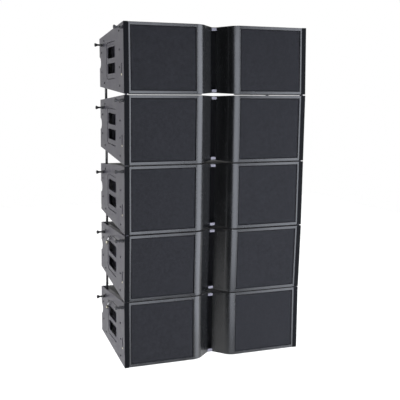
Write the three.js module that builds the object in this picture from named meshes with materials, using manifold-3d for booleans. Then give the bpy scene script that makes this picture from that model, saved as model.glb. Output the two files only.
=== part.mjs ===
// A flown line array of five two-way cabinets. Each cabinet hangs from the one above it on a pair of
// front hinge pins and a pair of slotted rear links, so that every junction can close up at the rear.
// Millimetres, +X to the right seen from the audience, +Y to the rear, +Z up. The origin is on the axis
// of the top cabinet's front pins, midway across. Each cabinet is modelled in a frame of its own, whose
// origin is on its own front pin axis.
import * as THREE from "three";
import { mergeVertices } from "three/addons/utils/BufferGeometryUtils.js";
import Module from "manifold-3d";

const wasm = await Module();
wasm.setup();

// ---- Driving dimensions ----
const CABINETS = 5;
const WIDTH = 1000;
const FRONT_HEIGHT = 352;
const REAR_HEIGHT = 262;
const DEPTH = 540;
const SEAM = 4; // gap between two fronts
const SPLAY_AT_REST = [0, 2.5, 0, 2, -3]; // degrees, each cabinet against the one above it
const MOST_SPLAY = 8; // degrees, rears closed up
const LANYARD_CABINETS = [4, 5];
const FIT_GAP = 0.4; // between pieces that touch

// Rigging: the two pin axes of a side frame, and the link's own pivot
const PIN_BACK = 20; // front pin axis behind the front face
const PIN_DROP = 28; // front pin axis below the top front edge
const PIN_RADIUS = 6;
const HOLE_RADIUS = 7; // to the corners of an eight-sided hole
const REAR_PIN = { y: 436, z: -56 };
const LINK_PIVOT = { y: REAR_PIN.y, z: -235 };
const LINK_HALF_WIDTH = 14;
const LINK_SLOT_RADIUS = 8;
const TAB_HALF_WIDTH = 13;
const TAB_LENGTH = 120; // between the centres of its round ends
const TAB_BLOCK = { halfWidth: 10, below: 5, height: 50 }; // below the tab's upper round end
const LINK_LAYER = [482, 490]; // distance of links and tabs from the centre line

// Side frame: an outer plate, an inner cheek beside each pin, and flanges between them
const OUTER_PLATE = [495, WIDTH / 2];
const CHEEK = [476, 479];
const FLANGE = 4;
const FRONT_CHEEK_REAR = 50;
const REAR_CHEEK_FRONT = 396;
const MID_FLANGE = [60, 395];
const NOTCH_RADIUS = 30;
const HANDLE_FRAME = { low: [150, -245], high: [356, -52], corner: 24, sunk: 2 };
const HANDLE_WINDOWS = [
  { low: [168, -138], high: [332, -76] },
  { low: [168, -218], high: [332, -160] },
];
const WINDOW_CORNER = 14;
const GRIP = { low: [160, -160], high: [340, -138], inner: 484 };
const FRONT_SLOT = { y: 28, low: -230, high: -176, radius: 4.5 };

// Wooden cabinet
const CABINET_HALF = 475.5;
const FRAME_PROUD = 1; // side frames stand this far above and below the wood
const PANEL = 15;
const SIDE_PANEL = 12;
const FRONT_LIP = 10;
const BAFFLE = [2, 20]; // front and back face
const REAR_SET_IN = 2;
const WOOFER_X = 293;
const WOOFER_CUTOUT_RADIUS = 139;
const HORN_OPENING_HALF = 108;
const CONNECTOR_OPENING = { halfWidth: 130, halfHeight: 52 };
const HANDLE_CUP = { low: [160, -226], high: [342, -68], corner: 20, depth: 58, wall: 6 };

// Front moulding: a surround for each grille, and between them the horn, two rounded flanks that fall
// back to a tall slot
const MOULDING = 4; // depth of the front moulding's skin, with its gap to the wood
const HORN_HALF = 121;
const RECESS_DEPTH = 72;
const LOBE_RADIUS = 80;
const THROAT_RADIUS = 20;
const FLANK_TURN = THREE.MathUtils.degToRad(50);
const FLANK_WALL = 12;
const HORN_SIDE = 8.5;
const SLOT_HALF_WIDTH = 11;
const SLOT_BRIDGE = 15;

// Grilles: folded steel trays
const GRILLE = { inner: 123.5, outer: 463.5, set: 3, sheet: 2, gap: 1.5 };

// Pins: radius and distance from the centre line, from the tip outwards. A spool pin has a long head to
// pull on, and a button pin, on the right at the front, a low one.
const SHANK = [
  [0, 477.5],
  [PIN_RADIUS, 477.5],
  [PIN_RADIUS, 500.4],
];
const SPOOL_PIN = [
  ...SHANK,
  [8.5, 500.4],
  [8.5, 513],
  [5, 516],
  [5, 530],
  [9.5, 538],
  [9.5, 545],
  [0, 545],
];
const BUTTON_PIN = [
  ...SHANK,
  [9.5, 500.4],
  [9.5, 504.5],
  [7.5, 507],
  [0, 507],
];
const PIN_SIDES = 10;
const HOLE_SIDES = 8;
const WOOFER_SIDES = 20;
const NOTCH_SIDES = 14;
const CORNER_STEPS = 3;
const ROUND_END_STEPS = 4;
const CORD_SIDES = 8;

// Wire lanyards on the left-hand front pins, from the screw eye to the pin's waist
const LANYARD_DIAMETER = 4;
const LANYARD_STEPS = 26;
const LANYARD_ROUTE = [
  [-504.6, 351, -91],
  [-505.2, 341, -84],
  [-506, 328, -75],
  [-507, 312, -65],
  [-508, 294, -54],
  [-509.2, 274, -44],
  [-510.6, 252, -35],
  [-512, 228, -28],
  [-513.6, 202, -23],
  [-515.2, 174, -19],
  [-516.8, 144, -16],
  [-518.4, 114, -13],
  [-520, 84, -10],
  [-521.4, 56, -7],
  [-522.4, 30, -4],
  [-523, 8.4, -1.5],
];

// ---- Derived sizes ----
const FRONT = -PIN_BACK;
const REAR = FRONT + DEPTH;
const TAPER = (FRONT_HEIGHT - REAR_HEIGHT) / 2 / DEPTH;
const PITCH = FRONT_HEIGHT + SEAM;
const MIDDLE = PIN_DROP - FRONT_HEIGHT / 2;
const WOOD_FRONT = FRONT + MOULDING;
const CABINET_REAR = REAR - REAR_SET_IN;
const WOOD_INSIDE = FRAME_PROUD + PANEL;
const BEYOND = 60; // how far a cutting tool runs past what it cuts
const THROUGH_FRAME = [CHEEK[0] - 1, WIDTH / 2 + 1];
const THROUGH_PLATE = [OUTER_PLATE[0] - 1, WIDTH / 2 + 1];
const THROUGH_LINK = [LINK_LAYER[0] - 1, LINK_LAYER[1] + 1];
const topAt = (y) => PIN_DROP - TAPER * (y - FRONT);
const bottomAt = (y) => PIN_DROP - FRONT_HEIGHT + TAPER * (y - FRONT);

// ---- Materials ----
const surface = (color, roughness, metalness) =>
  new THREE.MeshStandardMaterial({ color, roughness, metalness });
const LOOKS = {
  wood: surface(0x2b2b2f, 0.75, 0),
  horn: surface(0x0c0c0e, 0.22, 0),
  grille: surface(0x2f2f33, 0.7, 0.3),
  frame: surface(0x625e6a, 0.45, 0.6),
  pin: surface(0x3a3a40, 0.3, 0.9),
  link: surface(0x26262a, 0.45, 0.7),
  lanyard: surface(0x101012, 0.5, 0),
};

// ---- Solids ----
function toSolid(geometry) {
  geometry.deleteAttribute("normal");
  geometry.deleteAttribute("uv");
  const merged = mergeVertices(geometry, 1e-4);
  return new wasm.Manifold(
    new wasm.Mesh({
      numProp: 3,
      vertProperties: merged.attributes.position.array,
      triVerts: new Uint32Array(merged.index.array),
    }),
  );
}

function toMesh(name, solid, material) {
  const { vertProperties, triVerts } = solid.getMesh();
  const geometry = new THREE.BufferGeometry();
  geometry.setAttribute("position", new THREE.BufferAttribute(vertProperties, 3));
  geometry.setIndex(new THREE.BufferAttribute(triVerts, 1));
  geometry.computeVertexNormals();
  const mesh = new THREE.Mesh(geometry, material);
  mesh.name = name;
  return mesh;
}

// Points of an arc about (u, v), from one angle to another in radians.
function arc(u, v, radius, from, to, steps) {
  const points = [];
  for (let i = 0; i <= steps; i++) {
    const a = from + ((to - from) * i) / steps;
    points.push([u + radius * Math.cos(a), v + radius * Math.sin(a)]);
  }
  return points;
}

function extrude(points, low, high, basis) {
  const shape = new THREE.Shape(points.map(([u, v]) => new THREE.Vector2(u, v)));
  const geometry = new THREE.ExtrudeGeometry(shape, { depth: high - low, bevelEnabled: false });
  geometry.translate(0, 0, low);
  geometry.applyMatrix4(basis);
  return toSolid(geometry);
}

const [X, Y, Z] = [new THREE.Vector3(1, 0, 0), new THREE.Vector3(0, 1, 0), new THREE.Vector3(0, 0, 1)];
const ALONG_X = new THREE.Matrix4().makeBasis(Y, Z, X);
const ALONG_Y = new THREE.Matrix4().makeBasis(Z, X, Y);
const ALONG_Z = new THREE.Matrix4().makeBasis(X, Y, Z);

// A slab of a (y, z) outline between two distances out from the centre line, on the given side.
function sideSlab(side, points, [near, far]) {
  return side < 0 ? extrude(points, -far, -near, ALONG_X) : extrude(points, near, far, ALONG_X);
}

function box(low, high) {
  const outline = rectangle([low[0], low[1]], [high[0], high[1]]);
  return extrude(outline, low[2], high[2], ALONG_Z);
}

const rectangle = (low, high) => [
  [low[0], low[1]],
  [high[0], low[1]],
  [high[0], high[1]],
  [low[0], high[1]],
];

function roundedRectangle(low, high, radius, steps = CORNER_STEPS) {
  const quarter = Math.PI / 2;
  const corners = [
    [high[0] - radius, high[1] - radius],
    [low[0] + radius, high[1] - radius],
    [low[0] + radius, low[1] + radius],
    [high[0] - radius, low[1] + radius],
  ];
  return corners.flatMap(([u, v], i) => arc(u, v, radius, i * quarter, (i + 1) * quarter, steps));
}

function circle(u, v, radius, sides = HOLE_SIDES) {
  return arc(u, v, radius, 0, 2 * Math.PI, sides).slice(0, sides);
}

// An upright slot or a bar with round ends: two half circles, centred at (u, low) and (u, high).
function stadium(u, low, high, radius, steps = ROUND_END_STEPS) {
  return [
    ...arc(u, high, radius, 0, Math.PI, steps),
    ...arc(u, low, radius, Math.PI, 2 * Math.PI, steps),
  ];
}

// The cabinet's tapered section, drawn in by some inset at top and bottom, between two depths.
const taperedOutline = (inset, front, rear) => [
  [front, bottomAt(front) + inset],
  [rear, bottomAt(rear) + inset],
  [rear, topAt(rear) - inset],
  [front, topAt(front) - inset],
];

const wedge = (inset, front, rear, left, right) =>
  extrude(taperedOutline(inset, front, rear), left, right, ALONG_X);

const joined = (solids) => solids.reduce((whole, piece) => whole.add(piece));
const without = (solid, cutters) => cutters.reduce((rest, cutter) => rest.subtract(cutter), solid);

// ---- Horn plan ----
// The curve of the horn's face across the front: a convex lobe, a straight fall and a hollow throat on
// each side of a flat floor. The front edges of the top and bottom panels follow it too.
const STRAIGHT_FALL =
  (RECESS_DEPTH - (LOBE_RADIUS + THROAT_RADIUS) * (1 - Math.cos(FLANK_TURN))) / Math.sin(FLANK_TURN);
const FLOOR_HALF =
  HORN_HALF -
  (LOBE_RADIUS + THROAT_RADIUS) * Math.sin(FLANK_TURN) -
  STRAIGHT_FALL * Math.cos(FLANK_TURN);

function hornCurve(behind = 0) {
  const floorY = FRONT + RECESS_DEPTH + behind;
  const up = Math.PI / 2;
  const throat = arc(FLOOR_HALF, floorY - THROAT_RADIUS, THROAT_RADIUS, up, up - FLANK_TURN, 3);
  const lobeCentreY = FRONT + LOBE_RADIUS + behind;
  const lobe = arc(HORN_HALF, lobeCentreY, LOBE_RADIUS, -up - FLANK_TURN, -up, 6);
  const right = [...throat, ...lobe];
  const left = right.map(([x, y]) => [-x, y]).reverse();
  return [...left, ...right];
}

// ---- Cabinet ----
function cabinetSolid() {
  const plan = [
    [-CABINET_HALF, CABINET_REAR],
    [-CABINET_HALF, WOOD_FRONT],
    ...hornCurve(MOULDING),
    [CABINET_HALF, WOOD_FRONT],
    [CABINET_HALF, CABINET_REAR],
  ];
  const block = extrude(plan, bottomAt(FRONT) - BEYOND, topAt(FRONT) + BEYOND, ALONG_Z);
  const carcass = block.intersect(
    wedge(FRAME_PROUD, FRONT - 1, REAR, -CABINET_HALF - 1, CABINET_HALF + 1),
  );
  const insideHalf = CABINET_HALF - SIDE_PANEL;
  const bayHalf = CABINET_HALF - FRONT_LIP;
  const shell = without(carcass, [
    wedge(WOOD_INSIDE, BAFFLE[1], CABINET_REAR - PANEL, -insideHalf, insideHalf),
    wedge(WOOD_INSIDE, FRONT - BEYOND, BAFFLE[0], -bayHalf, bayHalf),
    wedge(WOOD_INSIDE, FRONT - BEYOND, BAFFLE[1] + 1, -HORN_OPENING_HALF, HORN_OPENING_HALF),
    ...[-1, 1].map((side) => wooferHole(side)),
    connectorOpening(),
  ]);
  const withCups = joined([shell, ...[-1, 1].map((side) => handleCup(side, HANDLE_CUP.wall))]);
  return without(withCups, [-1, 1].map((side) => handleCup(side, 0)));
}

function wooferHole(side) {
  // ALONG_Y takes (z, x) outlines
  const outline = circle(MIDDLE, side * WOOFER_X, WOOFER_CUTOUT_RADIUS, WOOFER_SIDES);
  return extrude(outline, BAFFLE[0] - 1, BAFFLE[1] + 1, ALONG_Y);
}

function connectorOpening() {
  const { halfWidth, halfHeight } = CONNECTOR_OPENING;
  return box(
    [-halfWidth, CABINET_REAR - PANEL - 1, MIDDLE - halfHeight],
    [halfWidth, REAR + 1, MIDDLE + halfHeight],
  );
}

// The block that a handle cup fills, grown by its wall, or with no wall the hollow inside it.
function handleCup(side, wall) {
  const low = HANDLE_CUP.low.map((v) => v - wall);
  const high = HANDLE_CUP.high.map((v) => v + wall);
  const near = CABINET_HALF - HANDLE_CUP.depth - wall;
  const far = wall > 0 ? CABINET_HALF - 1 : CABINET_HALF + 1;
  return sideSlab(side, roundedRectangle(low, high, HANDLE_CUP.corner + wall, 2), [near, far]);
}

// ---- Front moulding with the horn ----
function hornSolid() {
  const inset = WOOD_INSIDE + FIT_GAP;
  const outerHalf = HORN_HALF - 0.5;
  const innerHalf = outerHalf - HORN_SIDE;
  const foot = BAFFLE[0] - FIT_GAP;
  const face = hornCurve().filter(([x]) => Math.abs(x) < outerHalf);
  const back = hornCurve(FLANK_WALL).filter(([x]) => Math.abs(x) < innerHalf);
  const plan = [
    [-outerHalf, foot],
    [-outerHalf, FRONT],
    ...face,
    [outerHalf, FRONT],
    [outerHalf, foot],
    [innerHalf, foot],
    [innerHalf, FRONT + FLANK_WALL],
    ...back.reverse(),
    [-innerHalf, FRONT + FLANK_WALL],
    [-innerHalf, foot],
  ];
  const rear = FRONT + RECESS_DEPTH + FLANK_WALL;
  const flanks = extrude(plan, bottomAt(FRONT), topAt(FRONT), ALONG_Z).intersect(
    wedge(inset, FRONT - 1, rear + 1, -HORN_HALF, HORN_HALF),
  );
  const slotInset = inset + SLOT_BRIDGE;
  const slot = wedge(slotInset, FRONT, rear + 1, -SLOT_HALF_WIDTH, SLOT_HALF_WIDTH);
  return flanks.add(mouldingSkin()).subtract(slot);
}

// The skin that covers the front edges of the wood from side to side, with a bay for each grille.
function mouldingSkin() {
  const depth = MOULDING - FIT_GAP;
  const half = CABINET_HALF - FIT_GAP;
  const plan = [
    [-half, FRONT],
    ...hornCurve(),
    [half, FRONT],
    [half, FRONT + depth],
    ...hornCurve(depth).reverse(),
    [-half, FRONT + depth],
  ];
  const sheet = extrude(plan, bottomAt(FRONT), topAt(FRONT), ALONG_Z).intersect(
    wedge(FRAME_PROUD, FRONT - 1, REAR, -half - 1, half + 1),
  );
  const bayHalf = CABINET_HALF - FRONT_LIP;
  const bay = (left, right) => wedge(WOOD_INSIDE, FRONT - 1, FRONT + MOULDING, left, right);
  return without(sheet, [bay(-bayHalf, -HORN_HALF), bay(HORN_HALF, bayHalf)]);
}

// ---- Grille ----
function grilleSolid(side) {
  const { inner, outer, set, sheet, gap } = GRILLE;
  const face = FRONT + set;
  const foot = BAFFLE[0] - FIT_GAP;
  const [left, right] = side < 0 ? [-outer, -inner] : [inner, outer];
  const inset = WOOD_INSIDE + gap;
  const tray = wedge(inset, face, foot, left, right);
  return tray.subtract(wedge(inset + sheet, face + sheet, foot + 1, left + sheet, right - sheet));
}

// ---- Side frame ----
function sideFrameSolid(side, hangsAnother) {
  const fold = [CHEEK[0], OUTER_PLATE[0] + 1];
  const [midFront, midRear] = MID_FLANGE;
  const alongTop = [
    [midFront, topAt(midFront) - FLANGE],
    [midRear, topAt(midRear) - FLANGE],
    [midRear, topAt(midRear)],
    [midFront, topAt(midFront)],
  ];
  const alongBottom = alongTop.map(([y, z]) => [y, 2 * MIDDLE - z]).reverse();
  const pieces = [
    sideSlab(side, taperedOutline(0, FRONT, REAR), OUTER_PLATE),
    sideSlab(side, taperedOutline(0, FRONT, FRONT + FLANGE), fold),
    sideSlab(side, taperedOutline(0, REAR - FLANGE, REAR), fold),
    sideSlab(side, alongTop, fold),
    sideSlab(side, alongBottom, fold),
    sideSlab(side, taperedOutline(0, FRONT + 1, FRONT_CHEEK_REAR), CHEEK),
    sideSlab(side, taperedOutline(0, REAR_CHEEK_FRONT, REAR - 1), CHEEK),
    sideSlab(side, rectangle(GRIP.low, GRIP.high), [GRIP.inner, OUTER_PLATE[0] + 1]),
  ];
  if (hangsAnother) pieces.push(frontTab(side), linkPivotBolt(side));
  const cutters = [
    sideSlab(side, circle(0, 0, HOLE_RADIUS), THROUGH_FRAME),
    sideSlab(side, circle(REAR_PIN.y, REAR_PIN.z, HOLE_RADIUS), THROUGH_FRAME),
    sideSlab(side, circle(REAR, MIDDLE, NOTCH_RADIUS, NOTCH_SIDES), THROUGH_FRAME),
    sideSlab(side, frontSlotOutline(), THROUGH_PLATE),
    ...HANDLE_WINDOWS.map(({ low, high }) =>
      sideSlab(side, roundedRectangle(low, high, WINDOW_CORNER), THROUGH_PLATE),
    ),
    sideSlab(
      side,
      roundedRectangle(HANDLE_FRAME.low, HANDLE_FRAME.high, HANDLE_FRAME.corner),
      [WIDTH / 2 - HANDLE_FRAME.sunk, THROUGH_PLATE[1]],
    ),
  ];
  const frame = without(joined(pieces), cutters);
  return hangsAnother ? frame.subtract(lowerPinHole(side)) : frame;
}

const frontSlotOutline = () =>
  stadium(FRONT_SLOT.y, FRONT_SLOT.low, FRONT_SLOT.high, FRONT_SLOT.radius, 2);

// The tab that reaches down into the next side frame, and the block that holds it.
function frontTab(side) {
  const { halfWidth, below, height } = TAB_BLOCK;
  const upperEnd = TAB_LENGTH - PITCH;
  const tab = sideSlab(side, stadium(0, -PITCH, upperEnd, TAB_HALF_WIDTH), LINK_LAYER);
  const block = rectangle(
    [-halfWidth, upperEnd - below - height],
    [halfWidth, upperEnd - below],
  );
  return tab.add(sideSlab(side, block, [CHEEK[1] - 1, OUTER_PLATE[0] + 1]));
}

const lowerPinHole = (side) => sideSlab(side, circle(0, -PITCH, HOLE_RADIUS), THROUGH_LINK);

const linkPivotBolt = (side) =>
  sideSlab(side, circle(LINK_PIVOT.y, LINK_PIVOT.z, PIN_RADIUS), [CHEEK[0], OUTER_PLATE[0] + 1]);

// ---- Pins ----
function pinSolid(side, profile) {
  const points = profile.map(([r, out]) => new THREE.Vector2(r, out));
  const geometry = new THREE.LatheGeometry(points, PIN_SIDES);
  geometry.rotateZ((-side * Math.PI) / 2);
  return toSolid(geometry);
}

// ---- Rear link ----
// Where the next cabinet's rear pin lies, seen from a link's pivot, at some splay in degrees.
function pinFromPivot(splay) {
  const a = THREE.MathUtils.degToRad(splay);
  const y = REAR_PIN.y * Math.cos(a) - REAR_PIN.z * Math.sin(a);
  const z = REAR_PIN.y * Math.sin(a) + REAR_PIN.z * Math.cos(a) - PITCH;
  const back = y - LINK_PIVOT.y;
  const down = LINK_PIVOT.z - z;
  return { distance: Math.hypot(back, down), angle: Math.atan2(back, down) };
}

// A flat bar with a pivot hole, and a slot whose lower end rests on the pin at this junction's splay.
function linkSolid(side, splay) {
  const rest = pinFromPivot(splay).distance;
  const closest = pinFromPivot(MOST_SPLAY).distance;
  const slack = LINK_SLOT_RADIUS - PIN_RADIUS;
  const bar = sideSlab(side, stadium(0, -rest, 0, LINK_HALF_WIDTH), LINK_LAYER);
  const slot = stadium(0, slack - FIT_GAP - rest, -closest, LINK_SLOT_RADIUS);
  return without(bar, [
    sideSlab(side, circle(0, 0, HOLE_RADIUS), THROUGH_LINK),
    sideSlab(side, slot, THROUGH_LINK),
  ]);
}

// ---- Lanyard ----
function lanyardSolid() {
  const route = new THREE.CatmullRomCurve3(LANYARD_ROUTE.map((p) => new THREE.Vector3(...p)));
  const section = circle(0, 0, LANYARD_DIAMETER / 2, CORD_SIDES).map(([u, v]) => new THREE.Vector2(u, v));
  return toSolid(
    new THREE.ExtrudeGeometry(new THREE.Shape(section), {
      steps: LANYARD_STEPS,
      extrudePath: route,
      bevelEnabled: false,
    }),
  );
}

// ---- Assembly ----
// A group that holds one cabinet with its own pieces, in the cabinet's frame.
function cabinetGroup(number) {
  const hangsAnother = number < CABINETS;
  const group = new THREE.Group();
  const add = (name, solid, material) => group.add(toMesh(`${name}_${number}`, solid, material));
  add("cabinet", cabinetSolid(), LOOKS.wood);
  add("horn", hornSolid(), LOOKS.horn);
  // The right side frame is the left one's exact mirror image, down to its facets.
  const leftFrame = sideFrameSolid(-1, hangsAnother);
  for (const [word, side] of [["left", -1], ["right", 1]]) {
    add(`grille_${word}`, grilleSolid(side), LOOKS.grille);
    add(`side_frame_${word}`, side < 0 ? leftFrame : leftFrame.mirror([1, 0, 0]), LOOKS.frame);
    add(`front_pin_${word}`, pinSolid(side, side < 0 ? SPOOL_PIN : BUTTON_PIN), LOOKS.pin);
    const rearPin = toMesh(`rear_pin_${word}_${number}`, pinSolid(side, SPOOL_PIN), LOOKS.pin);
    rearPin.position.set(0, REAR_PIN.y, REAR_PIN.z);
    group.add(rearPin);
    if (hangsAnother) {
      const splay = SPLAY_AT_REST[number];
      const link = toMesh(`rear_link_${word}_${number}`, linkSolid(side, splay), LOOKS.link);
      link.position.set(0, LINK_PIVOT.y, LINK_PIVOT.z);
      link.rotation.x = pinFromPivot(splay).angle;
      group.add(link);
    }
  }
  if (LANYARD_CABINETS.includes(number)) add("lanyard", lanyardSolid(), LOOKS.lanyard);
  return group;
}

const lineArray = new THREE.Group();
let above = lineArray;
for (let number = 1; number <= CABINETS; number++) {
  const group = cabinetGroup(number);
  if (number > 1) group.position.z = -PITCH;
  group.rotation.x = THREE.MathUtils.degToRad(SPLAY_AT_REST[number - 1]);
  above.add(group);
  above = group;
}

export default lineArray;
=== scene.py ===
import math

import bmesh
import bpy
from mathutils import Matrix, Vector, noise


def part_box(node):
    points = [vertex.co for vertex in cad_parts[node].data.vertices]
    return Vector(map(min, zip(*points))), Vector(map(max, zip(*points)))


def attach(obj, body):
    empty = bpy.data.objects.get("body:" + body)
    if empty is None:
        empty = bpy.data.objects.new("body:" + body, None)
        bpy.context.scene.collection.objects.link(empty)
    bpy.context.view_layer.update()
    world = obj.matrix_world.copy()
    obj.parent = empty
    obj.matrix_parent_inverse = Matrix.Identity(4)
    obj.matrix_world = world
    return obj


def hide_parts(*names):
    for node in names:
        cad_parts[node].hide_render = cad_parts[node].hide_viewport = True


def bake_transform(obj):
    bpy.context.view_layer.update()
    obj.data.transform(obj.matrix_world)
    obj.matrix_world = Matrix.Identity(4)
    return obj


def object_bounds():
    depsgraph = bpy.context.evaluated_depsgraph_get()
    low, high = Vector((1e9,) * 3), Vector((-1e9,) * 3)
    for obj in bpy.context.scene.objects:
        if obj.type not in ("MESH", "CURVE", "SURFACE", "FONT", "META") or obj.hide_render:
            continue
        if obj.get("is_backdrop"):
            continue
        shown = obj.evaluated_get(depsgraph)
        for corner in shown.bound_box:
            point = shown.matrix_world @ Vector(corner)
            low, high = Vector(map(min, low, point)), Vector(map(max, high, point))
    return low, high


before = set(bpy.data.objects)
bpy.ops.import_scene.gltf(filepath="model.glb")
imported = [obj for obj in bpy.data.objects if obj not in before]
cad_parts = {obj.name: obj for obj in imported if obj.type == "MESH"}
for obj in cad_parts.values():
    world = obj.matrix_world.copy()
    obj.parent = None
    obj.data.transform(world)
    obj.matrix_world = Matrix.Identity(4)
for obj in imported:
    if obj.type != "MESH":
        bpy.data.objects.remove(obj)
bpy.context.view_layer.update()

# A flown line array of five cabinets. Shapes are worked out in millimetres in a cabinet's own frame:
# origin on its front pin axis, +X to the right seen from the audience, +Y to the rear, +Z up. The
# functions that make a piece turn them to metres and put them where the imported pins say.
MM = 0.001
CABINETS = range(1, 6)
LANYARD_CABINETS = (4, 5)
SIDES = (("left", -1), ("right", 1))

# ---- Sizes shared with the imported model, millimetres ----
side_low, side_high = (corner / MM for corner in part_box("side_frame_right_1"))
horn_low, horn_high = (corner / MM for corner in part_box("horn_1"))
CABINET_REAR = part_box("cabinet_1")[1].y / MM
HALF_WIDTH = side_high.x
CHEEK_INSIDE = side_low.x
FRONT, REAR = side_low.y, side_high.y
TOP = side_high.z
FRAME_PROUD = TOP - horn_high.z
BOTTOM = horn_low.z - FRAME_PROUD
MIDDLE = (TOP + BOTTOM) / 2
REAR_HEIGHT = 262
TAPER = (TOP - BOTTOM - REAR_HEIGHT) / 2 / (REAR - FRONT)
PITCH = 356
REAR_PIN = (436, -56)
LINK_PIVOT = (436, -235)
LINK_LAYER = (482, 490)
OUTER_PLATE = 495
PANEL = 15
WOOD_INSIDE = FRAME_PROUD + PANEL
BAFFLE_FRONT = 2
WOOFER_X = 293
FIT_GAP = 0.4
PIN_HOLE_RADIUS = 6.6


def top_at(y):
    return TOP - TAPER * (y - FRONT)


def bottom_at(y):
    return BOTTOM + TAPER * (y - FRONT)


# ---- Places ----
def axis_of(node):
    low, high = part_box(node)
    return (low + high) / 2


def pin_slope(number):
    front, rear = axis_of(f"front_pin_left_{number}"), axis_of(f"rear_pin_left_{number}")
    return math.atan2(rear.z - front.z, rear.y - front.y)


def cabinet_place(number):
    """The matrix from a cabinet's own frame to the row frame; the top cabinet isn't tilted."""
    front = axis_of(f"front_pin_left_{number}")
    tilt = pin_slope(number) - pin_slope(1)
    return Matrix.Translation((0, front.y, front.z)) @ Matrix.Rotation(tilt, 4, "X")


PLACE = {number: cabinet_place(number) for number in CABINETS}


# ---- Camera ----
def make_camera():
    camera = bpy.data.objects.new("camera", bpy.data.cameras.new("camera"))
    bpy.context.scene.collection.objects.link(camera)
    camera.location = (-1.423, -3.6668, -0.3793)
    camera.rotation_euler = (math.radians(90 - 6.819), 0, math.radians(-21.022))
    camera.data.sensor_width = 36
    camera.data.lens = 67.753
    camera.data.shift_x = -0.0375
    camera.data.shift_y = -0.0125
    camera.data.clip_end = 60
    bpy.context.scene.camera = camera


make_camera()


# ---- Outlines ----
def arc(u, v, radius, start, end, steps):
    """Points of an arc about (u, v), its angles in degrees."""
    angles = [math.radians(start + (end - start) * i / steps) for i in range(steps + 1)]
    return [(u + radius * math.cos(a), v + radius * math.sin(a)) for a in angles]


def circle(u, v, radius, sides=32):
    return arc(u, v, radius, 0, 360, sides)[:-1]


def stadium(u, low, high, radius, steps=12):
    return arc(u, high, radius, 0, 180, steps) + arc(u, low, radius, 180, 360, steps)


def rounded(low, high, radius, steps=8):
    (u0, v0), (u1, v1) = low, high
    centres = [(u1 - radius, v1 - radius), (u0 + radius, v1 - radius)]
    centres += [(u0 + radius, v0 + radius), (u1 - radius, v0 + radius)]
    corners = [arc(u, v, radius, 90 * i, 90 * i + 90, steps) for i, (u, v) in enumerate(centres)]
    return [point for corner in corners for point in corner]


def tapered(inset, front, rear):
    """The side view's outline between two depths, drawn in by an inset at top and bottom."""
    return [
        (front, bottom_at(front) + inset),
        (rear, bottom_at(rear) + inset),
        (rear, top_at(rear) - inset),
        (front, top_at(front) - inset),
    ]


# ---- Solids, each a bmesh in millimetres ----
AXES = {
    "X": Matrix(((0, 0, 1, 0), (1, 0, 0, 0), (0, 1, 0, 0), (0, 0, 0, 1))),  # (u, v) is (y, z)
    "Y": Matrix(((1, 0, 0, 0), (0, 0, 1, 0), (0, 1, 0, 0), (0, 0, 0, 1))),  # (u, v) is (x, z)
    "Z": Matrix.Identity(4),  # (u, v) is (x, y)
}


def round_edges(bm, radius, segments=2, least_angle=40):
    sharp = [e for e in bm.edges if e.is_manifold and e.calc_face_angle(0) > math.radians(least_angle)]
    bmesh.ops.bevel(
        bm, geom=sharp, offset=radius, segments=segments, profile=0.5, affect="EDGES", clamp_overlap=True
    )
    return bm


def plate(outlines, near, far, axis="X", edge=0.0, segments=2):
    """A flat plate of an outline and its holes, between two distances along an axis."""
    bm = bmesh.new()
    rims = []
    for points in outlines:
        verts = [bm.verts.new((u, v, near)) for u, v in points]
        rims += [bm.edges.new(pair) for pair in zip(verts, verts[1:] + verts[:1])]
    bmesh.ops.triangle_fill(bm, edges=rims, use_beauty=True)
    grown = bmesh.ops.extrude_face_region(bm, geom=bm.faces[:])["geom"]
    moved = [v for v in grown if isinstance(v, bmesh.types.BMVert)]
    bmesh.ops.translate(bm, verts=moved, vec=(0, 0, far - near))
    bmesh.ops.transform(bm, matrix=AXES[axis], verts=bm.verts)
    bmesh.ops.recalc_face_normals(bm, faces=bm.faces)
    return round_edges(bm, edge, segments) if edge else bm


def block(low, high, edge=1.0, segments=2):
    return plate([[(low[0], low[1]), (high[0], low[1]), (high[0], high[1]), (low[0], high[1])]],
                 low[2], high[2], "Z", edge, segments)


def lathe(profile, centre, axis="X", steps=40, closed=False):
    """Turns a profile of (radius, distance along the axis) points about an axis through centre."""
    bm = bmesh.new()
    rings = []
    for radius, along in profile:
        if radius < 1e-6:
            rings.append([bm.verts.new((0, 0, along))])
        else:
            rings.append([bm.verts.new((u, v, along)) for u, v in circle(0, 0, radius, steps)])
    pairs = list(zip(rings, rings[1:]))
    if closed:
        pairs.append((rings[-1], rings[0]))
    for a, b in pairs:
        for i in range(steps):
            j = (i + 1) % steps
            corners = [a[i % len(a)], a[j % len(a)], b[j % len(b)], b[i % len(b)]]
            bm.faces.new(list(dict.fromkeys(corners)))
    bmesh.ops.transform(bm, matrix=Matrix.Translation(centre) @ AXES[axis], verts=bm.verts)
    bmesh.ops.recalc_face_normals(bm, faces=bm.faces)
    return bm


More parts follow.
